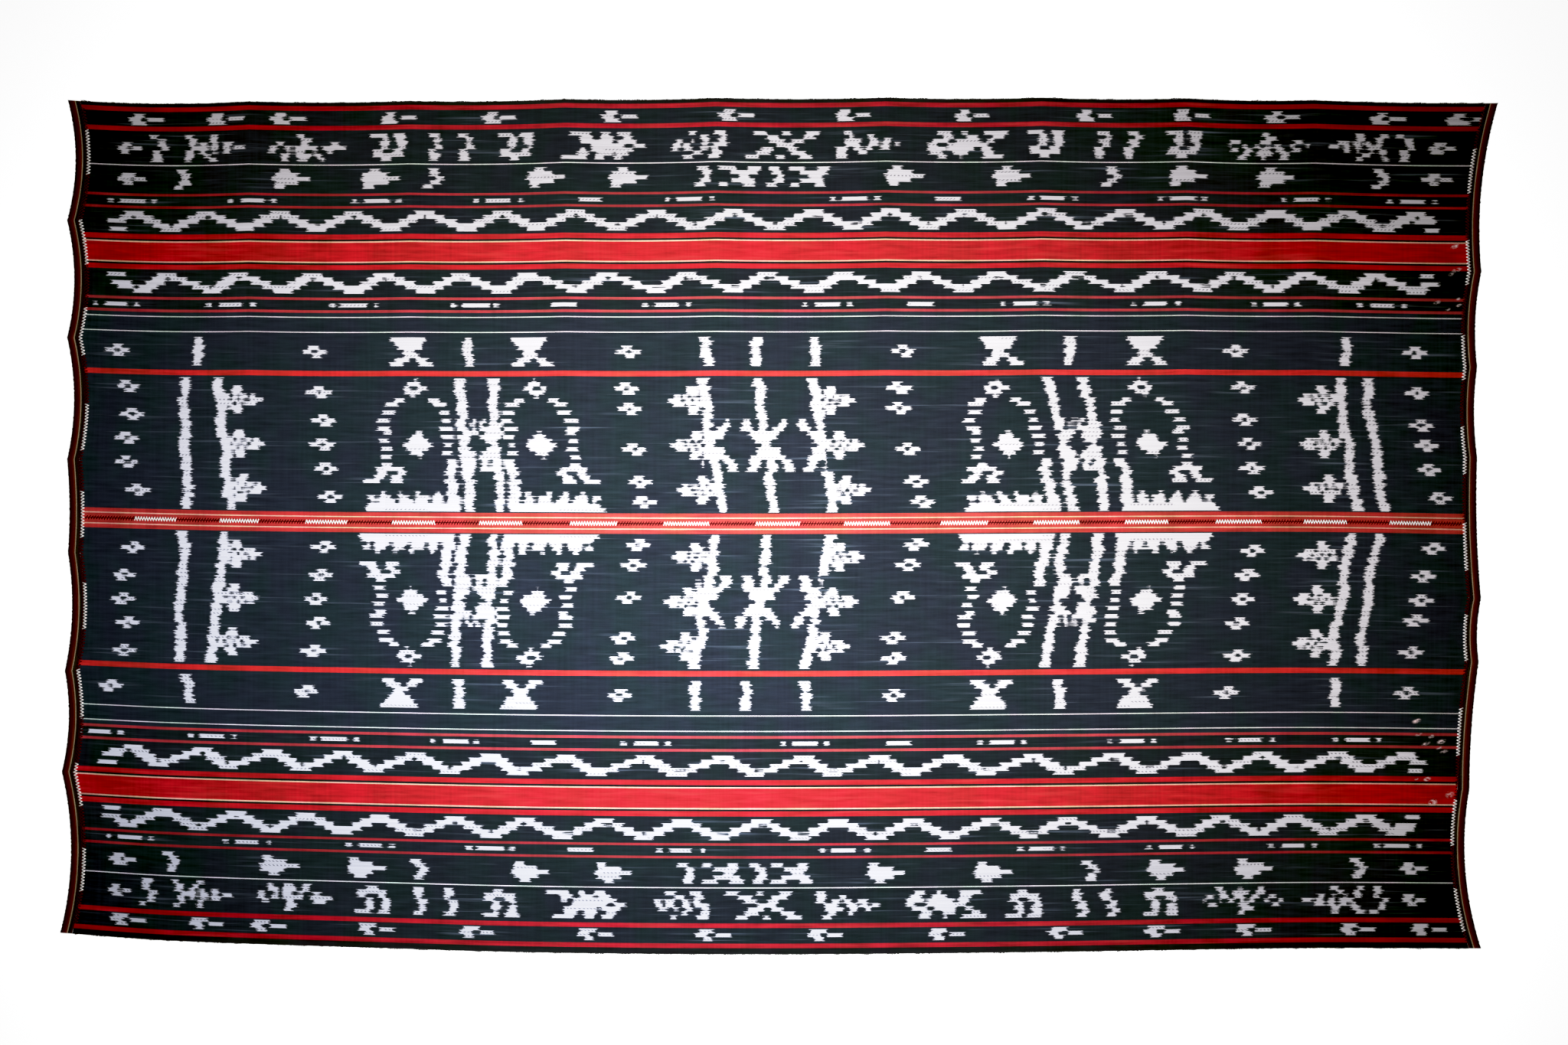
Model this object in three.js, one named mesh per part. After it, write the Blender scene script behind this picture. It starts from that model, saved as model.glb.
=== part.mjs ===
// A warp ikat cloth of two loom widths, joined edge to edge along the middle and closed at both
// ends by a narrow woven band. It lies flat and face up. Millimetres, X along the warp, Y across
// the loom widths, Z up. The origin is on the surface it lies on, under the middle of its box.
import * as THREE from 'three';

// Driving dimensions
const clothThickness = 1.2;
const bandThickness = 1.8;
const bandWidth = 17;
const seamGap = 0.3;
const outlineStep = 16;

// The end bands are drawn in at the points where they were stretched. Each row is one such point
// on the outer edge, from the far corner down, and how deep the hollow below it is.
const leftPoints = [
  { x: -1002.8, y: 600.5, hollow: 11.3 },
  { x: -1003.9, y: 430.9, hollow: 10.0 },
  { x: -1003.9, y: 265.7, hollow: 9.7 },
  { x: -1003.9, y: 94.0, hollow: 2.7 },
  { x: -1002.8, y: -37.8, hollow: 7.9 },
  { x: -1007.1, y: -204.1, hollow: 7.6 },
  { x: -1011.4, y: -346.7, hollow: 14.0 },
  { x: -1013.6, y: -573.5, hollow: 0 },
];
const rightPoints = [
  { x: 1013.6, y: 596.2, hollow: 11.3 },
  { x: 990.4, y: 358.6, hollow: 5.4 },
  { x: 984.4, y: 223.6, hollow: 4.3 },
  { x: 984.4, y: 97.2, hollow: 3.2 },
  { x: 989.8, y: -102.6, hollow: 3.8 },
  { x: 986.6, y: -191.2, hollow: 3.2 },
  { x: 973.6, y: -370.4, hollow: 14.0 },
  { x: 989.8, y: -595.6, hollow: 0 },
];

// The far selvedge has its own shallow points, from left to right, and a small sag after each.
const farPoints = [
  { x: -1002.8, y: 600.5, sag: 4.3 },
  { x: -747.9, y: 598.3, sag: 2.0 },
  { x: -521.1, y: 598.9, sag: 2.0 },
  { x: -301.9, y: 601.6, sag: 2.0 },
  { x: -89.1, y: 603.2, sag: 2.0 },
  { x: 150.7, y: 603.7, sag: 2.0 },
  { x: 371.0, y: 603.7, sag: 2.0 },
  { x: 575.1, y: 602.6, sag: 2.0 },
  { x: 754.4, y: 600.0, sag: 1.8 },
  { x: 1013.6, y: 596.2, sag: 0 },
];

// The near selvedge and the middle join are gentle curves through these points.
const nearPoints = [
  { x: -1013.6, y: -573.5 },
  { x: -861.3, y: -584.3 },
  { x: -602.1, y: -593.5 },
  { x: -342.9, y: -601.0 },
  { x: -18.9, y: -603.7 },
  { x: 369.9, y: -600.5 },
  { x: 737.1, y: -595.1 },
  { x: 989.8, y: -595.6 },
];
const joinPoints = [
  { x: -1013.6, y: 13.4 },
  { x: -774.9, y: 7.6 },
  { x: -515.7, y: 4.9 },
  { x: -18.9, y: 3.2 },
  { x: 521.1, y: 5.9 },
  { x: 760.0, y: 6.0 },
  { x: 1013.6, y: 1.9 },
];

const finish = {
  indigo: { color: 0x1c262d, roughness: 0.92, metalness: 0 },
  rust: { color: 0x84241a, roughness: 0.9, metalness: 0 },
};

// The places where an edge is sampled: every one of its points and even steps between them.
function stations(points, key) {
  const between = points.slice(0, -1).flatMap((point, row) => {
    const run = points[row + 1][key] - point[key];
    const steps = Math.ceil(Math.abs(run) / outlineStep);
    return Array.from({ length: steps }, (_, step) => point[key] + (run * step) / steps);
  });
  return between.sort((first, second) => first - second);
}

// How far along its points a value lies: the row before it, and the share of the way to the next.
function spanOf(points, key, value) {
  const direction = Math.sign(points[1][key] - points[0][key]);
  const last = points.length - 2;
  let row = 0;
  while (row < last && (value - points[row + 1][key]) * direction > 0) row += 1;
  const share = (value - points[row][key]) / (points[row + 1][key] - points[row][key]);
  return { row, share };
}

// A stretched edge: straight between its points, with a parabolic hollow inwards after each.
// It runs along one axis, named by key, and is measured along the other, named by across.
function stretchedEdge(points, key, across, depth, inward) {
  const at = (value) => {
    const { row, share } = spanOf(points, key, value);
    const straight = THREE.MathUtils.lerp(points[row][across], points[row + 1][across], share);
    return straight + inward * Math.max(0, 4 * share * (1 - share)) * points[row][depth];
  };
  return { at, stations: stations(points, key) };
}

// A gentle edge: a cubic through its points, with the slope at each taken from its neighbours.
function gentleEdge(points) {
  const slopeAt = (row) => {
    const before = points[Math.max(0, row - 1)];
    const after = points[Math.min(points.length - 1, row + 1)];
    return (after.y - before.y) / (after.x - before.x);
  };
  const at = (x) => {
    const { row, share } = spanOf(points, 'x', x);
    const run = points[row + 1].x - points[row].x;
    const rise = points[row + 1].y - points[row].y;
    const bend = share * (share - 1) * ((share - 1) * (slopeAt(row) * run - rise)
      + share * (slopeAt(row + 1) * run - rise));
    return points[row].y + share * rise + bend;
  };
  return { at, stations: stations(points, 'x') };
}

// The same edge moved across by a fixed amount.
function shifted(edge, amount) {
  return { at: (value) => edge.at(value) + amount, stations: edge.stations };
}

// Points along one edge, from one place up to but without the last.
function along(edge, from, to, place) {
  const between = edge.stations.filter((value) => (value - from) * (value - to) < 0);
  if (to < from) between.reverse();
  return [from, ...between].map((value) => place(value, edge.at(value)));
}

// Where an upright edge meets a level one.
function corner(upright, level) {
  let y = level.at(0);
  for (let turn = 0; turn < 8; turn += 1) y = level.at(upright.at(y));
  return new THREE.Vector2(upright.at(y), y);
}

// A flat sheet bounded by a lower and an upper level edge and a left and a right upright one.
function sheet(name, { lower, upper, left, right, thickness, surface }) {
  const lowLeft = corner(left, lower);
  const lowRight = corner(right, lower);
  const highRight = corner(right, upper);
  const highLeft = corner(left, upper);
  const onLevel = (x, y) => new THREE.Vector2(x, y);
  const onUpright = (y, x) => new THREE.Vector2(x, y);
  const outline = [
    ...along(lower, lowLeft.x, lowRight.x, onLevel),
    ...along(right, lowRight.y, highRight.y, onUpright),
    ...along(upper, highRight.x, highLeft.x, onLevel),
    ...along(left, highLeft.y, lowLeft.y, onUpright),
  ];
  const geometry = new THREE.ExtrudeGeometry(new THREE.Shape(outline), {
    depth: thickness, bevelEnabled: false, steps: 1,
  });
  const mesh = new THREE.Mesh(geometry, new THREE.MeshStandardMaterial(surface));
  mesh.name = name;
  return mesh;
}

const leftEnd = stretchedEdge(leftPoints, 'y', 'x', 'hollow', 1);
const rightEnd = stretchedEdge(rightPoints, 'y', 'x', 'hollow', -1);
const farSelvedge = stretchedEdge(farPoints, 'x', 'y', 'sag', -1);
const nearSelvedge = gentleEdge(nearPoints);
const middleJoin = gentleEdge(joinPoints);
const halfGap = seamGap / 2;

const loomWidth = {
  left: shifted(leftEnd, bandWidth + halfGap),
  right: shifted(rightEnd, -bandWidth - halfGap),
  thickness: clothThickness,
  surface: finish.indigo,
};
const endBand = {
  lower: nearSelvedge,
  upper: farSelvedge,
  thickness: bandThickness,
  surface: finish.rust,
};

const cloth = new THREE.Group();
cloth.add(
  sheet('upper_panel', { ...loomWidth, lower: shifted(middleJoin, halfGap), upper: farSelvedge }),
  sheet('lower_panel', { ...loomWidth, lower: nearSelvedge, upper: shifted(middleJoin, -halfGap) }),
  sheet('left_end_band', { ...endBand, left: leftEnd, right: shifted(leftEnd, bandWidth - halfGap) }),
  sheet('right_end_band', { ...endBand, left: shifted(rightEnd, halfGap - bandWidth), right: rightEnd }),
);

export default cloth;
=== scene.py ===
import bisect
import math
import random

import bmesh
import bpy
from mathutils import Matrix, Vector, noise


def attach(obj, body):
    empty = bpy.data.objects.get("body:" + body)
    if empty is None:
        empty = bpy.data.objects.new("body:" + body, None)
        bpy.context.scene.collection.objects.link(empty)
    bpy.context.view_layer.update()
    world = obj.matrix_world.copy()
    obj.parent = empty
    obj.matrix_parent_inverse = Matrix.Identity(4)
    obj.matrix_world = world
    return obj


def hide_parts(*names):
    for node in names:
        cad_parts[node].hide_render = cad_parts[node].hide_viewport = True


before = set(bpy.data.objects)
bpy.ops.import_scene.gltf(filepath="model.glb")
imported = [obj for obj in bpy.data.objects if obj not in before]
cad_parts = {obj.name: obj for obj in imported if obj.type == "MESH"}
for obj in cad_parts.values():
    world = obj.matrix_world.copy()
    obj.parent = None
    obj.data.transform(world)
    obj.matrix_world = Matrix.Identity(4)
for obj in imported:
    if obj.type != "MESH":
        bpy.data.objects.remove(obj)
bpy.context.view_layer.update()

# The view from straight above
# The cloth lies face up and is looked at square on, from far enough away that its edges
# show no perspective. The picture is 2048 pixels wide and takes in a little floor all round.
mm = 0.001
picture_pixels = 2048
pixel_size = 1.08
picture_width = picture_pixels * pixel_size * mm
picture_middle = (7 * mm, 4.9 * mm)
lens = 85
film_width = 36


def in_scene(name, data):
    """A new object of the scene, at the origin."""
    made = bpy.data.objects.new(name, data)
    bpy.context.scene.collection.objects.link(made)
    return made


camera_data = bpy.data.cameras.new("above")
camera_data.lens = lens
camera_data.sensor_width = film_width
camera_data.sensor_fit = "HORIZONTAL"
camera = in_scene("above", camera_data)
camera.location = (*picture_middle, picture_width * lens / film_width)
bpy.context.scene.camera = camera

# The film is exposed for the dark ground, with deep blacks, a soft toe and soft whites.
film_black = (0.0205, 0.0265, 0.0375)
film_white = 0.91
film_toe = ((0.2, 0.134), (0.42, 0.36), (0.6, 0.595), (0.8, 0.8))

display = bpy.context.scene.view_settings
display.view_transform = "Standard"
display.use_curve_mapping = True
display.curve_mapping.black_level = film_black
brightness = display.curve_mapping.curves[3]
brightness.points[1].location = (1, film_white)
for light_in, light_out in film_toe:
    brightness.points.new(light_in, light_out)
display.curve_mapping.update()

# The loom widths
# Each is one warp ikat cotton sheet: bundles of warp yarn were tied off along the marks of the
# design and dyed indigo, so that the ties stay pale, and were woven between plain red, cream and
# white stripes. The second width is the first one turned over across the middle join.

# Both ends were stretched at a few points and spring inwards between them, and the far selvedge
# does the same more gently. Millimetres from the middle of the cloth: x along the warp and y
# across the loom widths of each stretched point, and the depth of the hollow after it.
left_end = (
    (-1002.8, 600.5, 11.3),
    (-1003.9, 430.9, 10.0),
    (-1003.9, 265.7, 9.7),
    (-1003.9, 94.0, 2.7),
    (-1002.8, -37.8, 7.9),
    (-1007.1, -204.1, 7.6),
    (-1011.4, -346.7, 14.0),
    (-1013.6, -573.5, 0),
)
right_end = (
    (1013.6, 596.2, 11.3),
    (990.4, 358.6, 5.4),
    (984.4, 223.6, 4.3),
    (984.4, 97.2, 3.2),
    (989.8, -102.6, 3.8),
    (986.6, -191.2, 3.2),
    (973.6, -370.4, 14.0),
    (989.8, -595.6, 0),
)
far_selvedge = (
    (-1002.8, 600.5, 4.3),
    (-747.9, 598.3, 2.0),
    (-521.1, 598.9, 2.0),
    (-301.9, 601.6, 2.0),
    (-89.1, 603.2, 2.0),
    (150.7, 603.7, 2.0),
    (371.0, 603.7, 2.0),
    (575.1, 602.6, 2.0),
    (754.4, 600.0, 1.8),
    (1013.6, 596.2, 0),
)
# The near selvedge and the middle join are slow curves through these points.
near_selvedge = (
    (-1013.6, -573.5),
    (-861.3, -584.3),
    (-602.1, -593.5),
    (-342.9, -601.0),
    (-18.9, -603.7),
    (369.9, -600.5),
    (737.1, -595.1),
    (989.8, -595.6),
)
middle_join = (
    (-1013.6, 13.4),
    (-774.9, 7.6),
    (-515.7, 4.9),
    (-18.9, 3.2),
    (521.1, 5.9),
    (760.0, 6.0),
    (1013.6, 1.9),
)

# breadth of the end bands, and half of the gap that the sewing closes
band_width = 17
half_gap = 0.03


def span_of(points, along, value):
    """The row of points before a value, and the share of the way to the next row."""
    places = [point[along] for point in points]
    if places[0] > places[-1]:
        places, value = [-place for place in places], -value
    row = min(max(bisect.bisect_left(places, value) - 1, 0), len(places) - 2)
    return row, (value - places[row]) / (places[row + 1] - places[row])


def stretched(points, along, value, inward):
    """Where a stretched edge lies: straight between its points, with a hollow after each."""
    row, share = span_of(points, along, value)
    across = 1 - along
    straight = points[row][across] * (1 - share) + points[row + 1][across] * share
    return straight + inward * max(0, 4 * share * (1 - share)) * points[row][2]


def gentle(points, x):
    """Where a slow curve lies: a cubic through its points."""
    row, share = span_of(points, 0, x)

    def slope(place):
        before, after = points[max(0, place - 1)], points[min(len(points) - 1, place + 1)]
        return (after[1] - before[1]) / (after[0] - before[0])

    run, rise = points[row + 1][0] - points[row][0], points[row + 1][1] - points[row][1]
    bend = (share - 1) * (slope(row) * run - rise) + share * (slope(row + 1) * run - rise)
    return points[row][1] + share * rise + share * (share - 1) * bend


# How high the cloth lies and waves in mm, and how far in from an end its slack reaches
mean_lift = 0.25
broad_wave = 0.2
hollow_wave = 0.5
fine_wave = 0.6
cloth_half_length = 1000
slack_reach = 45
deepest_hollow = 14


def ripple(x, y):
    """How far the cloth stands off the surface, in mm: most in the slack of the two ends."""
    slack = math.exp(-(cloth_half_length - abs(x)) / slack_reach)
    points = left_end if x < 0 else right_end
    row, share = span_of(points, 1, y)
    hollow = 4 * max(0, share * (1 - share)) * points[row][2] / deepest_hollow
    broad = noise.noise(Vector((x / 160, y / 110, 3.0)))
    fine = abs(noise.noise(Vector((x / 60, y / 24, 8.0))))
    return mean_lift + broad_wave * broad + slack * (hollow_wave * hollow + fine_wave * fine)


# Length of one tie, height of the face and thickness of the sheet in mm, its columns along the
# warp, where the straight warp starts and ends, and how far in from there it gives to the bands
tie = 4
face_height = 1.15
sheet_thickness = 0.95
warp_columns = 394
warp_left = -986
warp_right = 970
end_give = 25

indigo = (0.0305, 0.046, 0.0655)
near_black = (0.022, 0.028, 0.034)
grey_indigo = (0.0247, 0.0365, 0.0485)
dark_indigo = (0.0238, 0.036, 0.048)
madder = (0.45, 0.042, 0.06)
wide_madder = (0.455, 0.042, 0.058)
outer_madder = (0.38, 0.034, 0.055)
dull_madder = (0.35, 0.06, 0.08)
rose_madder = (0.41, 0.097, 0.117)
soft_madder = (0.53, 0.075, 0.077)
pink_madder = (0.45, 0.095, 0.092)
# painted shadow: the dark line of shade where the two widths meet in the middle join
join_painted_shadow = (0.13, 0.022, 0.024)
cream = (0.7, 0.45, 0.36)
undyed = (0.64, 0.645, 0.66)

# Breadth in mm and colour of each stripe, selvedge first. Those with a design, and the broad
# plain ones, also say what they are and how many rows of ties they have.
stripes = (
    (4.9, near_black),
    (6.5, outer_madder),
    (3.2, dark_indigo),
    (16.5, dark_indigo, "arrows", 3),
    (1.8, dark_indigo),
    (6.5, outer_madder),
    (5.4, dark_indigo),
    (39.0, dark_indigo, "figures", 7),
    (4.2, dark_indigo),
    (1.5, undyed),
    (5.0, dark_indigo),
    (28.6, dark_indigo, "diamonds", 5),
    (6.5, dark_indigo),
    (3.5, dull_madder),
    (4.6, grey_indigo),
    (5.6, grey_indigo, "outer dashes", 1),
    (4.1, grey_indigo),
    (3.5, dull_madder),
    (4.0, grey_indigo),
    (29.2, grey_indigo, "outer zigzag", 5),
    (3.8, grey_indigo),
    (7.3, madder),
    (2.5, near_black),
    (2.1, cream),
    (27.0, wide_madder, "plain", 3),
    (2.0, cream),
    (2.7, near_black),
    (7.0, madder),
    (4.9, grey_indigo),
    (29.2, grey_indigo, "inner zigzag", 5),
    (5.4, grey_indigo),
    (3.8, rose_madder),
    (4.5, grey_indigo),
    (5.7, grey_indigo, "inner dashes", 1),
    (4.0, grey_indigo),
    (3.9, rose_madder),
    (5.6, indigo),
    (1.5, undyed),
    (19.9, indigo, "plain", 2),
    (1.5, undyed),
    (6.7, indigo),
    (41.0, indigo, "crosses", 7),
    (6.5, indigo),
    (7.6, soft_madder),
    (2.9, indigo),
    (189.3, indigo, "trees", 33),
    (1.4, indigo),
    (5.6, pink_madder),
    (1.8, cream),
    (6.3, pink_madder),
    # The last 0.6 mm is no yarn colour but painted shadow, the shade in the middle join.
    (0.6, join_painted_shadow),
)

# Charts of the motifs. A line is a row of ties, and a mark is 4 mm of warp left undyed.
charts = {
    "little arrow": """
..####.......
#####..######
.######......""",
    "star": """
..####...
####.####
.####....""",
    "bent post": """
###.....
...###..
...###..
....###.
.###....
.####...
.####...""",
    "straight post": """
####...
..###..
..###..
..####.
###....
####...
####...""",
    "stepped post": """
..####.
....###
..####.
...###.
####...
####...
.###...""",
    "post and plant": """
###......###..........
..###....###..........
..###.###.###.####....
...######.###.###.####
.###..##..##..###.....
.###...###............
###......###..........""",
    "post and branch": """
..####.................
....###....###.........
...#######..###..###...
...#####...####.###.###
####..###.###..####....
####....###............
####...................""",
    "winged": """
..........###..............
...........####............
..###......###.......####..
###..###.########..########
###...##.####..##...###....
....####.######.###........
....###...####...###.......""",
    "broken wings": """
............###..............
.............#####...........
.####.......####........###..
##...##..###.##.###...##...##
.###..###..####..###...###...
.....###..######..####.......
....###.....##.....###.......""",
    "cup": """
######..#####.
....###..####.
...####..####.
....###...###.
.####...####..
.###########..
....####......""",
    "bird": """
...########...####..#####.....
.......#####..#####...####....
.......############.#######...
..........#############..#####
......###.################....
.....#####..######.#####......
#########...###...####........""",
    "facing bird": """
....#####....##.....#########.
.....#####...#####.....####...
..######..#########..###......
####...###############........
#######.#########..####.......
.#####...######....#####......
...####....##......########...""",
    "lattice": """
......###......#####
..........###....###
..###..##..###...###
###.###...###.######
###.####..###.###...
.......####...####..
....####.....####...""",
    "open cross": """
...#####.....###.....######
.......#####........#####..
........######..#####......
...........#######.........
......#####....####........
....#####.......######.....
#####......###.....#####...""",
    "arrow star": """
...........
..#####....
#####.#####
..####.....
...........""",
    "wide chevron": """
.####.
..####
...###
..####
####..""",
    "chevron": """
.####..
..####.
....###
..####.
####...""",
    "diamond": """
...####.......
.#########....
##############
.#########....
.####.........""",
    "small cross": """
######....#####
....##########.
.......#####...
....#########..
####.....####..""",
    "cross": """
#############..
.###########...
..#########....
....#####......
....######.....
..#####..####..
#####.....#####""",
    "holed star": """
..####...
####.####
...####..""",
    "fern": """
....###.......
...####.......
###.##.##.##..
##.##.##.#####
.###.##.####..
...####.......
....###.......""",
    "arch": """
.................#................
...............#####..............
.............###..####............
..............######..............
................##................
..........####........####........
.......#####............#####.....
..................................
......#####...............####....
..................................
....#####..................####...
..................................
....#####.................#####...
......####........##..............
................#####......#####..
.....####......########...........
.............###########....###...
......####.....########...........
................#####......####...
.....####.........#...............
.............................####.
......####...................####.
...##########...............####..
....####...####.............####..
...####..####................###..
######...#####..............#####.
.............................####.
.............................####.
......##....##....##.....##..####.
.###.#####..####..#####.####.#####
..##.######.#####.#####.####.#####
.#################################
##################################""",
    "bound posts": """
####..##.##.###..
####.##.##..#####
####.##.########.
..######..#######
######...#######.
.####.....#####..
.###........###..
.#####.....######
.######..#######.
.######.########.
..######.###.####
..######.###.####
..#####..########""",
    "crossed post": """
###...###.....##....
####..####...###....
####..###..####.....
...###########......
....#########.......
.....######.........
.......####.........
.....#########......
.....#########......
...#############....
...####..###..####..
...####..####..####.
..####...####..####.""",
}
charts = {name: chart.split() for name, chart in charts.items()}
charts["cross to the right"] = ["." * 6 + line[6:] for line in charts["crossed post"]]
charts["cross to the left"] = [line[:10] for line in charts["crossed post"]]


def motif(chart, x, first=0, turned=False, lean=0):
    """A chart set out on its stripe: the x of its left side, its first row of ties, whether it is
    turned left to right, and how far it leans over at each row, in mm."""
    return chart, x, first, turned, lean


layout = {
    "arrows": [motif("little arrow", x) for x in (
        -919, -807, -718, -564, -421, -252, -85, 77, 247, 418, 555, 685, 833, 934)],
    "figures": [
        motif("star", -935, 2), motif("bent post", -889), motif("post and plant", -840),
        motif("winged", -719), motif("cup", -578), motif("straight post", -495),
        motif("straight post", -452), motif("cup", -397), motif("bird", -308),
        motif("lattice", -152), motif("open cross", -49), motif("post and branch", 80),
        motif("facing bird", 208), motif("cup", 350), motif("stepped post", 443),
        motif("stepped post", 485), motif("cup", 544), motif("broken wings", 632),
        motif("post and plant", 774, turned=True), motif("bent post", 870), motif("star", 914, 2),
    ],
    "diamonds": [motif("diamond", x) for x in (-716, -591, -357, -240, 148, 301, 548, 673)]
    + [motif("chevron", x) for x in (-501, 455, 835)]
    + [motif("wide chevron", x) for x in (-855, -119, -18)]
    + [motif("small cross", x) for x in (-86, 13)]
    + [motif("arrow star", x) for x in (-935, 906)],
    "crosses": [motif("cross", x) for x in (-548, -379, 284, 489)]
    + [motif("holed star", x, 2) for x in (-951, -672, -230, 158, 626, 880)],
    "trees": [motif("holed star", x - 18, row) for x, row in (
        (-919, 1), (-913, 8), (-920, 14), (-920, 20), (-905, 27),
        (-649, 2), (-642, 9), (-644, 15), (-639, 21), (-633, 28),
        (-215, 1), (-211, 6), (-204, 16), (-196, 24), (-190, 29),
        (170, 1), (170, 6), (182, 16), (193, 24), (202, 29),
        (655, 1), (655, 9), (663, 15), (668, 21), (678, 27),
        (901, 2), (907, 10), (914, 15), (917, 21), (932, 28))]
    + [motif("fern", x, row) for x, row in (
        (-785, 2), (-782, 13), (-778, 24), (52, 2), (64, 13), (73, 24))]
    + [motif("fern", x, row, turned=True) for x, row in (
        (-157, 2), (-152, 13), (-143, 24), (731, 2), (734, 13), (740, 24))]
    + [
        motif("arch", -584),
        motif("arch", -412, turned=True, lean=0.97),
        motif("arch", 234, lean=0.9),
        motif("arch", 441, turned=True, lean=1.4),
        motif("bound posts", -456, 10),
        motif("bound posts", 382, 10, lean=0.5),
        motif("cross to the right", -133, 10),
        motif("crossed post", -54, 10),
        motif("cross to the left", 27, 10),
    ],
}

# The middle of each post at the first and at the last row of ties, and the rows that it passes:
# some posts leave out the middle of the broad stripe.
whole_post = range(33)
broken_post = (*range(10), *range(23, 33))
posts = {
    "crosses": [(x, x, range(7)) for x in (-822, -437, -102, -30, 52, 410, 798)],
    "trees": [
        (-839, -833, whole_post), (-792, -774, whole_post), (-450, -435, broken_post),
        (-404, -393, broken_post), (-109, -79, broken_post), (-29, -6, broken_post),
        (48, 78, broken_post), (382, 414, broken_post), (431, 461, broken_post),
        (789, 815, whole_post), (827, 853, whole_post),
    ],
}
post_half_width = 7.8
post_wander = 3
wander_rows = 5

# The corners of each zigzag, at its first and at its last row of ties
zigzags = {
    "outer zigzag": (
        (-909, -807, -704, -600, -499, -390, -287, -172, -64, 49, 158, 263, 376, 489, 599, 701, 801, 899),
        (-858, -753, -652, -548, -441, -342, -230, -118, -6, 104, 211, 321, 430, 543, 648, 752, 853),
    ),
    "inner zigzag": (
        (-863, -762, -658, -557, -449, -353, -242, -130, -18, 90, 200, 307, 417, 534, 642, 742, 841),
        (-898, -799, -700, -599, -498, -392, -285, -174, -64, 49, 156, 260, 374, 487, 598, 697, 803, 900),
    ),
}
zigzag_half_stroke = 14.5
longest_slope = 82

# bars that stand alone past the ends of a zigzag: row of ties, start and end
loose_bars = {
    "outer zigzag": (
        (1, -929, -906), (2, -948, -919), (4, -945, -919), (1, 900, 925), (2, 895, 927), (4, 910, 933)),
    "inner zigzag": (
        (0, -949, -921), (2, -943, -914), (3, -934, -908), (0, 903, 925), (2, 903, 931), (3, 892, 917)),
}

# Small dyed eyes in the corners: their breadth, how far they stray, the room that they need in the
# stroke, and for each row of corners the row of ties that they lie in and how often they show
zigzag_eye = 5
eye_stray = 2
eye_room = 8
eye_rows = ((1, 0.85), (3, 0.4))

# Dashes stand in threes, a long one between two short ones, or alone
dash_middles = {
    "outer dashes": (-912, -743, -567, -396, -126, 107, 386, 569, 743, 893),
    "inner dashes": (-937, -773, -599, -429, -158, 68, 347, 531, 700, 851),
}
lone_dashes = {"outer dashes": (-267, 240), "inner dashes": (-302, 200)}
long_dash = 37
short_dash = 9
dash_gap = 8

# How far the two ends of a mark stray, and how far the dye crept in at each, in mm. The ferns are
# small and were tied the closest.
tie_give = 1.2
tie_crept = 1.3
fern_give = 0.4
fern_crept = 0.2
post_give = 2.4
long_dash_give = 2
short_dash_give = 1
row_stray = 1.5

# The second width has a broader selvedge, and the design of each stripe slipped along its warp:
# by how much at the middle, and how much more for each mm to the right of it. Near the left end
# all of them slipped back a little.
selvedge_gain = 3.1
left_slip = 6.5
left_slip_reach = 120
slips = {
    "arrows": (-35, -0.009),
    "figures": (-27, -0.011),
    "diamonds": (-24.5, -0.009),
    "outer dashes": (-13.5, -0.007),
    "outer zigzag": (-19.8, -0.008),
    "inner zigzag": (-15, 0),
    "inner dashes": (-31, -0.0055),
    "crosses": (-14, 0),
    "trees": (-8.8, 0),
}


def tied_spans(kind, rows, slip, chance):
    """For each row of ties in a stripe, where the undyed stretches of its warp start and end."""
    spans = [[] for _ in range(rows)]

    def slipped(x):
        if not slip:
            return x
        back = left_slip * math.exp(-max(0, x - warp_left) / left_slip_reach)
        return x + slip[0] + slip[1] * x + back

    def add(row, start, end, give=tie_give, crept=tie_crept):
        spans[row].append((slipped(start) + crept + chance.uniform(-give, give),
                           slipped(end) - crept + chance.uniform(-give, give)))

    for name, x, first, turned, lean in layout.get(kind, ()):
        chart = charts[name]
        give, crept = (fern_give, fern_crept) if name == "fern" else (tie_give, tie_crept)
        for line, marks in enumerate(chart):
            marks = marks[::-1] if turned else marks
            shift = x + lean * (first + line) + chance.uniform(-row_stray, row_stray)
            start = None
            for place, mark in enumerate(marks + "."):
                if mark == "#" and start is None:
                    start = place
                elif mark != "#" and start is not None:
                    add(first + line, shift + start * tie, shift + place * tie, give, crept)
                    start = None
    for top, bottom, passed in posts.get(kind, ()):
        wander = 0
        for row in passed:
            if row % wander_rows == 0:
                wander = chance.uniform(-post_wander, post_wander)
            middle = top + (bottom - top) * row / (rows - 1) + wander
            add(row, middle - post_half_width, middle + post_half_width, post_give)
    if kind in zigzags:
        firsts, lasts = zigzags[kind]
        for first in firsts:
            for last in (place for place in lasts if abs(place - first) < longest_slope):
                for row in range(rows):
                    middle = first + (last - first) * row / (rows - 1)
                    add(row, middle - zigzag_half_stroke, middle + zigzag_half_stroke)
        for row, start, end in loose_bars[kind]:
            add(row, start, end)
    for middle in dash_middles.get(kind, ()):
        add(0, middle - long_dash / 2, middle + long_dash / 2, long_dash_give)
        for side in (-1, 1):
            near = middle + side * (long_dash / 2 + dash_gap)
            add(0, *sorted((near, near + side * short_dash)), short_dash_give)
    for middle in lone_dashes.get(kind, ()):
        add(0, middle - long_dash / 2, middle + long_dash / 2, long_dash_give)
    bounds = [joined(row) for row in spans]
    if kind in zigzags:
        for corners, (row, often) in zip(zigzags[kind], eye_rows):
            for corner in corners:
                eye = slipped(corner) + chance.uniform(-eye_stray, eye_stray)
                sides = (eye - eye_room, eye + eye_room)
                inside = all(bisect.bisect(bounds[row], side) % 2 for side in sides)
                if inside and chance.random() < often:
                    bisect.insort(bounds[row], eye - zigzag_eye / 2)
                    bisect.insort(bounds[row], eye + zigzag_eye / 2)
    return bounds


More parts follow.
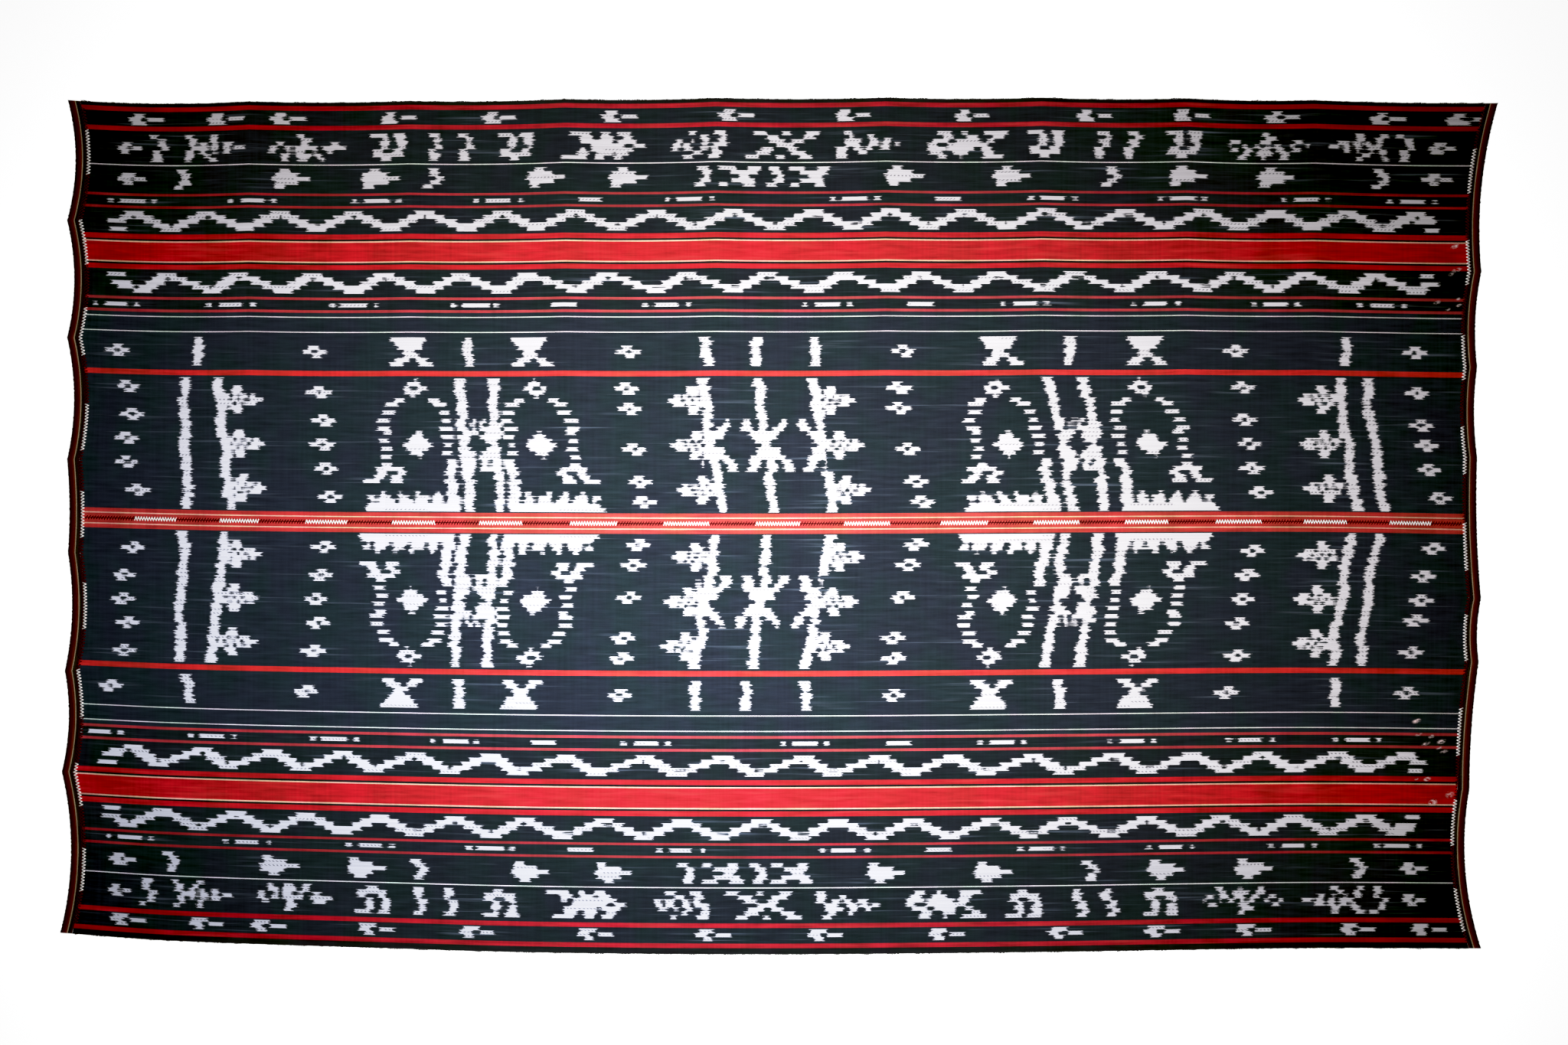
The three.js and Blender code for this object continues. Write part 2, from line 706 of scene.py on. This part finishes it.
def joined(spans):
    """Overlapping stretches made one, as a flat list of dye boundaries in order."""
    bounds = []
    for start, end in sorted(spans):
        if bounds and start <= bounds[-1] + 1:
            bounds[-1] = max(bounds[-1], end)
        else:
            bounds += [start, end]
    return bounds


def one_to_a_column(bounds, column):
    """Dye boundaries moved on a little where two would fall in one column of the sheet."""
    kept = []
    for bound in bounds:
        place = (bound - warp_left) / column
        if kept and math.floor(place) <= math.floor(kept[-1]):
            place = math.floor(kept[-1]) + 1.01
        kept.append(place)
    return [warp_left + place * column for place in kept]


# how far off a dye boundary still counts, in mm
far_off = 90


def undyed_depth(bounds, x, left):
    """How far inside an undyed stretch a place is, in mm, or below zero how far outside one."""
    after = bisect.bisect_right(bounds, x) if left else bisect.bisect_left(bounds, x)
    inside = after % 2 == 1
    nearest = min([abs(x - bound) for bound in bounds[max(0, after - 1): after + 1]], default=far_off)
    return min(nearest, far_off) * (1 if inside else -1)


# how far the selvedge wobbles, over what length, and how far in it starts, in mm
selvedge_wobble = 0.9
wobble_length = 7
wobble_inset = 0.3


def woven_sheet(name, selvedge, second, seed):
    """One loom width as a grid of tie rows by warp columns, with its design and stripes."""
    chance = random.Random(seed)
    total = sum(stripe[0] for stripe in stripes)
    lines, bands = [0], []
    for place, (breadth, colour, *design) in enumerate(stripes):
        kind, rows = design or ("plain", 1)
        marks = tied_spans(kind, rows, slips.get(kind) if second else None, chance)
        breadth += selvedge_gain * second * ((place == 0) - (kind == "trees"))
        for row in range(rows):
            lines.append(lines[-1] + breadth / rows)
            bands.append((marks[row], colour))
    column = (warp_right - warp_left) / warp_columns
    bands = [(one_to_a_column(bounds, column), colour) for bounds, colour in bands]

    net = bmesh.new()
    bmesh.ops.create_grid(net, x_segments=warp_columns, y_segments=len(bands), size=0.5)
    weave = net.loops.layers.uv.new("weave")
    resist = net.loops.layers.float.new("undyed")
    bundle = net.loops.layers.float.new("bundle")
    dye = net.loops.layers.float_color.new("dye")
    cells = {}
    for vertex in net.verts:
        step = round((vertex.co.x + 0.5) * warp_columns)
        line = round((vertex.co.y + 0.5) * len(bands))
        cells[vertex] = (step, line)
    for vertex, (step, line) in cells.items():
        warp = warp_left + step * column
        share = lines[line] / total
        x, y = warp, 0
        # x and y shift each other, so they are settled in a few turns.
        for _ in range(3):
            edge = selvedge(x)
            y = edge + (gentle(middle_join, x) - math.copysign(half_gap, -edge) - edge) * share
            left = stretched(left_end, 1, y, 1) + band_width + half_gap
            right = stretched(right_end, 1, y, -1) - band_width - half_gap
            x = (warp + (left - warp_left) * math.exp(-(warp - warp_left) / end_give)
                 + (right - warp_right) * math.exp(-(warp_right - warp) / end_give))
        if line == 0:
            wobble = abs(noise.noise(Vector((x / wobble_length, seed, 0)))) * selvedge_wobble
            y += math.copysign(wobble - wobble_inset, y)
        vertex.co = (x * mm, y * mm, (face_height + ripple(x, y)) * mm)
    for face in net.faces:
        corners = [cells[loop.vert] for loop in face.loops]
        first_step = min(step for step, _ in corners)
        first_line = min(line for _, line in corners)
        bounds, colour = bands[first_line]
        for loop in face.loops:
            step, line = cells[loop.vert]
            warp = warp_left + step * column
            loop[weave].uv = (warp * mm, lines[line] * mm)
            loop[resist] = undyed_depth(bounds, warp, step == first_step)
            loop[bundle] = line - first_line
            loop[dye] = (*colour, 1)
    if selvedge(0) > 0:
        bmesh.ops.reverse_faces(net, faces=net.faces)
    return piece_from(net, name)


def give_thickness(piece, thickness):
    """The cloth below the face that was modelled, in mm."""
    body = piece.modifiers.new("thickness", "SOLIDIFY")
    body.thickness = thickness * mm
    body.offset = -1


def piece_from(net, name):
    """A finished mesh as an object of the scene, at the origin."""
    mesh = bpy.data.meshes.new(name)
    net.to_mesh(mesh)
    net.free()
    return in_scene(name, mesh)


class Shade:
    """A socket of the material in hand. Arithmetic on it adds Math nodes."""

    tree = None

    def __init__(self, socket):
        self.socket = socket

    @classmethod
    def node(cls, kind, settings, inputs, output=0):
        """One node: its settings first, then the values or links of its sockets."""
        made = cls.tree.nodes.new(kind)
        for name, value in settings.items():
            setattr(made, name, value)
        for name, value in inputs.items():
            if isinstance(value, Shade):
                cls.tree.links.new(value.socket, made.inputs[name])
            else:
                made.inputs[name].default_value = value
        return cls(made.outputs[output])

    def twin(self, name):
        """Another output of the same node."""
        return Shade(self.socket.node.outputs[name])

    def math(self, operation, *others, first=None):
        """A Math node on this value and others."""
        values = (self, *others) if first is None else (first, self)
        return Shade.node("ShaderNodeMath", {"operation": operation}, dict(enumerate(values)))

    def __add__(self, other):
        return self.math("ADD", other)

    def __sub__(self, other):
        return self.math("SUBTRACT", other)

    def __rsub__(self, other):
        return self.math("SUBTRACT", first=other)

    def __mul__(self, other):
        return self.math("MULTIPLY", other)

    def __truediv__(self, other):
        return self.math("DIVIDE", other)

    __radd__, __rmul__ = __add__, __mul__

    def floor(self):
        return self.math("FLOOR")

    def wave(self):
        return self.math("SINE")

    def size(self):
        return self.math("ABSOLUTE")

    def ease(self, low, high, out_low=0.0, out_high=1.0):
        """A smooth step from one value to another."""
        return Shade.node("ShaderNodeMapRange", {"interpolation_type": "SMOOTHSTEP"}, {
            "Value": self, "From Min": low, "From Max": high, "To Min": out_low, "To Max": out_high})

    def colour_to(self, start, end):
        """A colour between two, by this share."""
        return Shade.node("ShaderNodeMix", {"data_type": "RGBA"}, {0: self, 6: start, 7: end}, 2)

    def tinted(self, tint, share=1.0):
        """This colour multiplied by a tint, by this share."""
        return Shade.node("ShaderNodeMix", {"data_type": "RGBA", "blend_type": "MULTIPLY"}, {
            0: share, 6: self, 7: tint}, 2)

    def scaled(self, tone):
        """This colour made lighter or darker."""
        return Shade.node("ShaderNodeVectorMath", {"operation": "SCALE"}, {"Vector": self, "Scale": tone})

    def coarse(self, scale, detail=2.0):
        """Soft noise at this place."""
        return Shade.node("ShaderNodeTexNoise", {"noise_dimensions": "3D"}, {
            "Vector": self, "Scale": scale, "Detail": detail})


def place_of(x, y, z=0.0):
    """A place for a pattern, put together from its numbers."""
    return Shade.node("ShaderNodeCombineXYZ", {}, {"X": x, "Y": y, "Z": z})


def weave_place():
    """Where a place lies in the weave: along the sheet and across it, in metres."""
    weave = Shade.node("ShaderNodeUVMap", {"uv_map": "weave"}, {})
    along = Shade.node("ShaderNodeSeparateXYZ", {}, {"Vector": weave})
    return along, along.twin("Y")


def mesh_value(name, output="Fac"):
    """What the sheet's mesh says at this place."""
    return Shade.node("ShaderNodeAttribute", {"attribute_name": name}, {}, output)


def chance_at(x, y):
    """A fixed random value for each cell, from 0 to 1."""
    return Shade.node("ShaderNodeTexWhiteNoise", {"noise_dimensions": "2D"}, {"Vector": place_of(x, y)})


def painted(name, build):
    """A material whose surface comes from a function that fills in one Principled shader."""
    material = bpy.data.materials.new(name)
    material.use_nodes = True
    Shade.tree = material.node_tree
    surface = material.node_tree.nodes["Principled BSDF"]
    for socket, value in build().items():
        if isinstance(value, Shade):
            material.node_tree.links.new(value.socket, surface.inputs[socket])
        else:
            surface.inputs[socket].default_value = value
    return material


# pitch of the warp yarns, of the wefts, and of the parts of a bundle that took the dye alike
yarn_pitch = 0.8 * mm
weft_pitch = 1.9 * mm
part_pitch = 1.45 * mm

# how the end of a mark strays, in mm: its notch, each part, each yarn, and how softly it ends
notch = 6
part_stray = 10
yarn_stray = 3.2
end_softness = 1.4

# where ties leaked: breadth of a bundle and of a line of yarns, pitch and run of the dashes
bundle_breadth = 5.7 * mm
leak_breadth = 2 * mm
leak_pitch = 5.3 * mm
leak_run = 62 * mm

# Each pair of tints or shades gives the two ends of a soft change.
ground_tints = ((0.92, 1.05, 0.9, 1), (1.08, 0.96, 1.0, 1))
cotton_shades = ((0.66, 0.66, 0.68, 1), (0.76, 0.76, 0.785, 1))
corner_tints = ((0.94, 0.965, 1.07, 1), (1.0, 0.965, 0.98, 1))
paled_ground = (0.15, 0.19, 0.24, 1)
rubbed_madder = (0.72, 0.16, 0.14, 1)
# painted shade: the reds made deeper and darker towards both ends, where the light falls off
madder_painted_shade_tint = (1.03, 0.66, 0.72, 1)
leaked_dye = (0.16, 0.17, 0.19, 1)
bleached = (0.82, 0.66, 0.66, 1)

# Where bleach splashed the cloth: x, y, half length, half breadth and strength
splashes = (
    (953, 394, 6, 2.6, 1.0), (956, 361, 7, 2.6, 0.7), (948, 355, 4, 2.0, 0.6),
    (928, 315, 5, 2.2, 0.8), (958, 320, 3, 1.8, 0.7), (959, 311, 4, 1.8, 0.9),
    (943, 305, 4, 1.6, 0.6), (899, -275, 6, 3.0, 1.0), (902, -294, 5, 1.8, 0.7),
    (920, -297, 4, 2.4, 0.9), (912, -307, 6, 2.2, 0.8), (934, -304, 6, 3.0, 1.0),
    (932, -313, 5, 1.6, 0.6), (938, -318, 6, 2.2, 0.5), (914, -357, 5, 2.6, 1.0),
    (899, -357, 3, 1.4, 0.5), (922, -390, 6, 4.0, 1.0), (946, -379, 6, 4.5, 0.5),
)
splash_spread = 1.2
splash_slant = 0.3


def ikat_surface():
    """Warp-faced cotton: the dye boundaries wander from yarn to yarn, and dye crept along them."""
    warp, across = weave_place()
    depth = mesh_value("undyed")
    through = mesh_value("bundle")
    dye = mesh_value("dye", "Color")
    place = Shade.node("ShaderNodeTexCoord", {}, {}, "Object")
    yarn = (across / yarn_pitch).floor()
    part = (across / part_pitch).floor()

    # The dye got in farthest along the middle of each bundle, so the ends of a mark are notched.
    off_middle = (through - 0.5).size()
    by_part = place_of(warp * 30, part * 3.7).coarse(1.0, 1.0)
    by_yarn = chance_at(yarn, (warp * 45).floor())
    edge = depth + off_middle * off_middle * notch + (by_part - 0.5) * part_stray
    edge = edge + (by_yarn - 0.5) * yarn_stray - 0.5
    pale = edge.ease(-end_softness, end_softness)

    # The ground is lighter and darker by yarn, in streaks and in soft clouds of hue.
    hue = place_of(warp * 16, across * 10, 7.0).coarse(1.0, 3.0).ease(0.36, 0.64)
    yarn_tone = chance_at(yarn, (warp * 9).floor())
    mottle = place_of(warp * 24, across * 190, 2.0).coarse(1.0, 3.0)
    weft = place_of(warp * 260, across * 9, 5.0).coarse(1.0, 1.0)
    tone = (0.38 + yarn_tone * 0.12 + mottle * 0.85 + weft * 0.28) * warp.ease(-0.25, 0.45, 1.04, 0.88)
    ground = dye.tinted(hue.colour_to(*ground_tints)).scaled(tone)
    # Close to the marks the ties held back some of the dye, in pale streaks along the yarns.
    streaks = place_of(warp * 6, across * 230, 4.0).coarse(1.0, 3.0)
    paled = streaks.ease(0.56, 0.8) * depth.ease(-80, -2) * 0.75
    ground = paled.colour_to(ground, paled_ground)
    # The reds have rubbed paler in soft streaks. Deeper reds towards both ends are painted shade, where
    # light and sheen fall off.
    red = Shade.node("ShaderNodeSeparateColor", {}, {"Color": dye})
    redness = (red - red.twin("Green")).ease(0.26, 0.28)
    rubbed = place_of(warp * 9, across * 150, 11.0).coarse(1.0, 3.0).ease(0.5, 0.74) * redness * 0.2
    ground = rubbed.colour_to(ground, rubbed_madder)
    ground = ground.tinted(madder_painted_shade_tint, warp.size().ease(0.2, 0.85) * redness)

    # Some ties let a little dye in along one line of yarns, as a row of dashes.
    tie_row = ((across - through * bundle_breadth) / leak_breadth).floor()
    dash = (warp * (2 * math.pi / leak_pitch) + tie_row * 2.1 + by_part * 9 + yarn * 0.9).wave()
    leaky = chance_at(tie_row, (warp / leak_run).floor()).ease(0.64, 0.68)
    speck = dash.ease(-0.1, 0.5) * off_middle.ease(0.2, 0.1)
    fresh = yarn_tone.colour_to(*cotton_shades)
    fresh = (speck * leaky * 0.7).colour_to(fresh, leaked_dye)
    # The marks are greyer towards the selvedge, and whitest at the left end.
    whiteness = across.ease(0.1, 0.28, 0.8, 0.93) * warp.ease(0.0, 0.6, 1.0, 0.9)
    whiteness = whiteness * warp.size().ease(0.3, 0.9, 1.0, 1.12)
    patterned = pale.colour_to(ground, fresh.scaled(whiteness))
    # The near left part is a little bluer than the rest.
    x = Shade.node("ShaderNodeSeparateXYZ", {}, {"Vector": place})
    rosier = (x * 0.6 + x.twin("Y")).ease(-0.75, 0.25)
    patterned = patterned.tinted(rosier.colour_to(*corner_tints))
    # Bleach has splashed both widths near the right end.
    worn = 0.0
    for spot_x, spot_y, half_length, half_breadth, strength in splashes:
        from_spot = Shade.node("ShaderNodeMapping", {"vector_type": "TEXTURE"}, {
            "Vector": place,
            "Location": (spot_x * mm, spot_y * mm, 0),
            "Rotation": (0, 0, splash_slant),
            "Scale": (half_length * splash_spread * mm, half_breadth * splash_spread * mm, 1)})
        away = Shade.node("ShaderNodeVectorMath", {"operation": "LENGTH"}, {"Vector": from_spot}, 1)
        worn = worn + away.ease(1.1, 0.3) * strength
    blotted = worn * place_of(warp * 160, across * 450).coarse(1.0).ease(0.38, 0.58)

    rib = (across * (math.pi / yarn_pitch)).wave().size()
    beat = (warp * (2 * math.pi / weft_pitch) + yarn * math.pi).wave()
    fluff = place_of(warp * 500, across * 900).coarse(1.0)
    height = rib * (beat * 0.05 + 0.95) + fluff * 0.15
    return {
        "Base Color": blotted.colour_to(patterned, bleached),
        "Roughness": 0.72 + by_yarn * 0.16,
        "Normal": Shade.node("ShaderNodeBump", {}, {
            "Strength": 0.35, "Distance": 0.00025, "Height": height}),
        "Specular IOR Level": 0.15,
    }


ikat_cotton = painted("ikat_cotton", ikat_surface)
for name, selvedge, second, seed in (
    ("upper_panel", lambda x: stretched(far_selvedge, 0, x, -1), 0, 11),
    ("lower_panel", lambda x: gentle(near_selvedge, x), 1, 29),
):
    panel = woven_sheet(name + "_cloth", selvedge, second, seed)
    panel.data.materials.append(ikat_cotton)
    give_thickness(panel, sheet_thickness)
    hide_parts(name)
    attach(panel, "root")

# The end bands
# A narrow band of cotton, woven in lines of black, plum, rust, cream, black and plum from its outer
# edge in, is sewn edge to edge to each end of the cloth. Its outer edge is a little lumpy.
band_rows = 520
band_thickness = 1.2
band_length = 1.2
band_yarn_pitch = 0.7 * mm
band_weft_pitch = 1.5 * mm

# the lumps in mm: their length, how far out and up they stand, and how far in they reach
lump_length = 2.6
lump_out = 0.8
lump_up = 0.2
lump_reach = 1.2
band_wave = 0.25

# distance from the outer edge in mm, height of the face, colour of the line that starts there
band_lines = (
    (0.0, 0.75, (0.016, 0.018, 0.024)),
    (0.6, 1.35, (0.028, 0.021, 0.028)),
    (1.6, 1.6, (0.055, 0.026, 0.036)),
    (3.6, 1.7, (0.08, 0.026, 0.037)),
    (5.9, 1.72, (0.12, 0.032, 0.038)),
    (7.6, 1.75, (0.17, 0.045, 0.04)),
    (9.2, 1.7, (0.42, 0.34, 0.24)),
    (10.5, 1.68, (0.036, 0.036, 0.036)),
    (12.6, 1.65, (0.03, 0.03, 0.032)),
    (14.4, 1.6, (0.05, 0.024, 0.032)),
    (16.0, 1.5, (0.05, 0.024, 0.032)),
    (16.97, 1.35, (0.05, 0.024, 0.032)),
)


def band_surface():
    """Ribbed cotton: fine yarns run along the band, and the weft shows as a small pitch."""
    length, across = weave_place()
    yarn = (across / band_yarn_pitch).floor()
    yarn_tone = chance_at(yarn, (length * 45).floor())
    mottle = place_of(length * 30, across * 500).coarse(1.0)
    tone = yarn_tone * 0.4 + mottle * 0.9 + 0.4
    rib = (across * (math.pi / band_yarn_pitch)).wave().size()
    beat = (length * (2 * math.pi / band_weft_pitch) + yarn * math.pi).wave()
    return {
        "Base Color": mesh_value("dye", "Color").scaled(tone),
        "Roughness": 0.7 + tone * 0.1,
        "Normal": Shade.node("ShaderNodeBump", {}, {
            "Strength": 0.6, "Distance": 0.0003, "Height": rib * (beat * 0.3 + 0.7)}),
        "Specular IOR Level": 0.15,
    }


band_cotton = painted("band_cotton", band_surface)
for name, outer, inward in (
    ("left_end_band", lambda y: stretched(left_end, 1, y, 1), 1),
    ("right_end_band", lambda y: stretched(right_end, 1, y, -1), -1),
):
    net = bmesh.new()
    bmesh.ops.create_grid(net, x_segments=len(band_lines) - 1, y_segments=band_rows, size=0.5)
    weave = net.loops.layers.uv.new("weave")
    dye = net.loops.layers.float_color.new("dye")
    cells = {}
    for vertex in net.verts:
        line = round((vertex.co.x + 0.5) * (len(band_lines) - 1))
        cells[vertex] = (line, vertex.co.y + 0.5)
    for vertex, (line, share) in cells.items():
        inset, height, _ = band_lines[line]
        y = 0
        for _ in range(4):
            x = outer(y) + inward * inset
            far, near = stretched(far_selvedge, 0, x, -1), gentle(near_selvedge, x)
            y = near + (far - near) * share
        lump = noise.noise(Vector((y / lump_length, inward * 5.0, inset / 9)))
        x -= inward * lump * lump_out * math.exp(-inset / lump_reach)
        height += lump * lump_up + noise.noise(Vector((y / 40, inward * 2.0, 4.0))) * band_wave
        vertex.co = (x * mm, y * mm, height * mm)
    for face in net.faces:
        first_line = min(cells[loop.vert][0] for loop in face.loops)
        for loop in face.loops:
            line, share = cells[loop.vert]
            loop[weave].uv = (share * band_length, band_lines[line][0] * mm)
            loop[dye] = (*band_lines[first_line][2], 1)
    if inward < 0:
        bmesh.ops.reverse_faces(net, faces=net.faces)
    band = piece_from(net, name + "_weave")
    band.data.materials.append(band_cotton)
    give_thickness(band, band_thickness)
    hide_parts(name)
    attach(band, "root")

# The sewing
# Cotton thread closes the middle join and holds both bands, in undyed and in maroon by turns.
# The thread goes from side to side of the join, and dips into the cloth at each turn.

# pitch of the stitches, how far they reach to each side and radius of the thread, in mm
join_pitch, join_reach, join_thread = 3.8, 3.1, 0.78
end_pitch, end_reach, end_thread = 4.35, 2.9, 0.74
thread_arch = 1.6
core_step = 6

# The maroon thread is finer and lies flatter than the undyed, by these shares.
maroon_radius = 0.75
maroon_reach = 0.9
maroon_join_lift = 0.7
maroon_end_lift = 0.8

# how far to the right of each band's inner edge its sewing lies, and how high
left_seam = 1.2
right_seam = 0.2
band_seam_height = 1.5

# where the undyed runs start and end along each join, in mm
pale_join = (
    (-909, -850), (-789, -733), (-668, -609), (-546, -485), (-423, -362), (-295, -228), (-163, -98),
    (-33, 30), (92, 156), (228, 295), (359, 423), (488, 549), (616, 680), (740, 801), (861, 920))
pale_left = (
    (496, 560), (369, 433), (241, 308), (107, 173), (-16, 49), (-145, -80), (-269, -202), (-395, -334),
    (-515, -454))
pale_right = (
    (469, 533), (340, 403), (206, 270), (73, 141), (-63, 5), (-190, -125), (-324, -257), (-451, -386),
    (-572, -512))


def runs_between(pale, start, end):
    """The stretches that the undyed runs leave over."""
    edges = [start, *(edge for run in sorted(pale) for edge in run), end]
    return list(zip(edges[::2], edges[1::2]))


def thread(name, strands, radius, cotton):
    """Cotton thread laid along rows of points, each x, y and z in mm, as one mesh."""
    path = bpy.data.curves.new(name, "CURVE")
    path.dimensions = "3D"
    path.bevel_depth = radius * mm
    path.bevel_resolution = 1
    path.use_fill_caps = True
    for points in strands:
        strand = path.splines.new("POLY")
        strand.points.add(len(points) - 1)
        for point, place in zip(strand.points, points):
            point.co = (*(value * mm for value in place), 1)
    laid = in_scene(name + "_path", path)
    mesh = bpy.data.meshes.new_from_object(laid.evaluated_get(bpy.context.evaluated_depsgraph_get()))
    bpy.data.objects.remove(laid)
    bpy.data.curves.remove(path)
    mesh.name = name
    mesh.materials.append(cotton)
    for polygon in mesh.polygons:
        polygon.use_smooth = True
    return in_scene(name, mesh)


def zigzag(start, end, pitch, reach, radius, place, chance):
    """Points from side to side of a join, rounded at each turn, arched between the turns."""
    points = []
    turns = round((end - start) / pitch * 2)
    reaches = [reach * chance.uniform(0.9, 1.12) for _ in range(turns + 1)]
    for turn in range(turns):
        side = 1 if turn % 2 else -1
        # how far along from one turn to the next, and how high there
        for share, lift in ((0.06, 0.1), (0.3, 0.55), (0.5, 0.7), (0.7, 0.55), (0.94, 0.1)):
            along = start + (turn + share) * pitch / 2
            across = side * (reaches[turn] + reaches[turn + 1]) * (0.5 - share)
            points.append(place(along, across, radius * lift * thread_arch))
    return points


def barbed(start, end, pitch, reach, radius, place, chance):
    """Slanting strokes across a join, each a strand of its own."""
    strands = []
    for turn in range(round((end - start) / pitch)):
        along = start + (turn + 0.5) * pitch + chance.uniform(-0.25, 0.25)
        reached = reach * chance.uniform(0.85, 1.1)
        strands.append([
            place(along + share * pitch * 0.42, share * reached, radius * lift)
            for share, lift in ((-1, -0.4), (-0.6, 0.9), (0, 1.2), (0.6, 0.9), (1, -0.4))])
    return strands


def across_join(along, across, lift):
    """A point of the sewing on the middle join."""
    y = gentle(middle_join, along) + across
    return along, y, face_height + ripple(along, y) + lift


def at_left(along, across, lift):
    """A point of the sewing on the left band's inner edge."""
    x = stretched(left_end, 1, along, 1) + band_width + left_seam + across
    return x, along, band_seam_height + lift


def at_right(along, across, lift):
    """A point of the sewing on the right band's inner edge."""
    x = stretched(right_end, 1, along, -1) - band_width + right_seam + across
    return x, along, band_seam_height + lift


def thread_surface(shade, colour):
    """Plied thread: its plies show as small soft light and dark places."""
    place = Shade.node("ShaderNodeTexCoord", {}, {}, "Object")
    plies = place.coarse(900.0, 1.0)
    return {
        "Base Color": plies.ease(0.3, 0.62).colour_to(shade, colour),
        "Roughness": 0.75 + plies * 0.15,
        "Normal": Shade.node("ShaderNodeBump", {}, {
            "Strength": 0.5, "Distance": 0.0002, "Height": plies}),
        "Specular IOR Level": 0.2,
    }


undyed_plies = ((0.74, 0.68, 0.66, 1), (0.95, 0.93, 0.92, 1))
maroon_plies = ((0.05, 0.004, 0.01, 1), (0.13, 0.008, 0.018, 1))
undyed_thread = painted("undyed_thread", lambda: thread_surface(*undyed_plies))
maroon_thread = painted("maroon_thread", lambda: thread_surface(*maroon_plies))
chance = random.Random(5)
stitches = []
for name, pale, start, end, pitch, reach, radius, place in (
    ("middle", pale_join, -978, 962, join_pitch, join_reach, join_thread, across_join),
    ("left", pale_left, -560, 590, end_pitch, end_reach, end_thread, at_left),
    ("right", pale_right, -585, 588, end_pitch, end_reach, end_thread, at_right),
):
    strands = [zigzag(*run, pitch, reach, radius, place, chance) for run in pale]
    undyed_run = thread(name + "_undyed_stitches", strands, radius, undyed_thread)
    strands = []
    for run in runs_between(pale, start, end):
        if name == "middle":
            strands += barbed(
                *run, pitch, reach * maroon_reach, radius * maroon_join_lift, place, chance)
            # A straight thread runs along under the strokes.
            steps = round((run[1] - run[0]) / core_step)
            strands.append([
                place(run[0] + (run[1] - run[0]) * step / steps, chance.uniform(-0.2, 0.2), 0.1)
                for step in range(steps + 1)])
        else:
            strands.append(zigzag(*run, pitch, reach, radius * maroon_end_lift, place, chance))
    maroon_run = thread(name + "_maroon_stitches", strands, radius * maroon_radius, maroon_thread)
    stitches += [undyed_run, maroon_run]
for stitch in stitches:
    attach(stitch, "root")

# The selvedges
# The weft turns back in a small loop at every shed, of dark cotton like the yarns beside it, and
# the loops stand out unevenly where it was drawn less tight.
turn_pitch = 2.3
turn_radius = 0.42
turn_reach = 1.5
turn_depth = 0.45


def weft_turns(edge_of, outward, start, end, chance):
    """A loop for each turn of the weft along one selvedge."""
    turns = []
    for turn in range(round((end - start) / turn_pitch)):
        x = start + (turn + 0.5) * turn_pitch + chance.uniform(-0.7, 0.7)
        broad = noise.noise(Vector((x / 19, outward * 3.0, 1.0)))
        fine = noise.noise(Vector((x / 6, outward, 6.0)))
        slack = broad + 0.8 * fine
        reach = turn_reach * min(1, max(0, 0.25 + slack))
        y = edge_of(x) - outward * 0.3
        z = face_height - turn_depth + ripple(x, y)
        half = turn_pitch * chance.uniform(0.25, 0.4)
        turns.append([
            (x - half, y - outward * 0.5, z),
            (x - half * 0.9, y + outward * reach * 0.7, z + 0.2),
            (x + chance.uniform(-0.3, 0.3), y + outward * (reach + 0.3), z + 0.1),
            (x + half * 0.9, y + outward * reach * 0.7, z),
            (x + half, y - outward * 0.5, z - 0.2)])
    return turns


dark_plies = ((0.014, 0.014, 0.016, 1), (0.03, 0.03, 0.034, 1))
dark_weft = painted("dark_weft", lambda: thread_surface(*dark_plies))
for name, edge_of, outward, start, end in (
    ("far_weft_turns", lambda x: stretched(far_selvedge, 0, x, -1), 1, -984, 994),
    ("near_weft_turns", lambda x: gentle(near_selvedge, x), -1, -994, 970),
):
    turns = thread(name, weft_turns(edge_of, outward, start, end, chance), turn_radius, dark_weft)
    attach(turns, "root")

# The floor and the light
# A plain pale floor, which glows so that it is white to the edges of the picture, and one round
# soft lamp above the middle of the cloth, whose light falls off towards the ends.
floor_half = 11.0
floor_drop = 0.4 * mm
floor_glow = 0.75
lamp_place = (-0.02, -0.09, 1.05)
lamp_size = 0.5
lamp_power = 27.3
room_light = 0.03

net = bmesh.new()
bmesh.ops.create_grid(net, x_segments=1, y_segments=1, size=floor_half)
bmesh.ops.translate(net, verts=net.verts, vec=(0, 0, -floor_drop))
floor = piece_from(net, "floor")
floor.data.materials.append(painted("floor", lambda: {
    "Base Color": (0.9, 0.9, 0.9, 1),
    "Roughness": 0.9,
    "Emission Color": (1, 1, 1, 1),
    "Emission Strength": floor_glow,
}))

lamp_data = bpy.data.lights.new("overhead", "AREA")
lamp_data.shape = "DISK"
lamp_data.size = lamp_size
lamp_data.energy = lamp_power
lamp = in_scene("overhead", lamp_data)
lamp.location = lamp_place
lamp.visible_camera = False

world = bpy.data.worlds.new("room")
world.use_nodes = True
room = world.node_tree.nodes["Background"]
room.inputs["Color"].default_value = (1, 1, 1, 1)
room.inputs["Strength"].default_value = room_light
bpy.context.scene.world = world

bpy.context.view_layer.update()
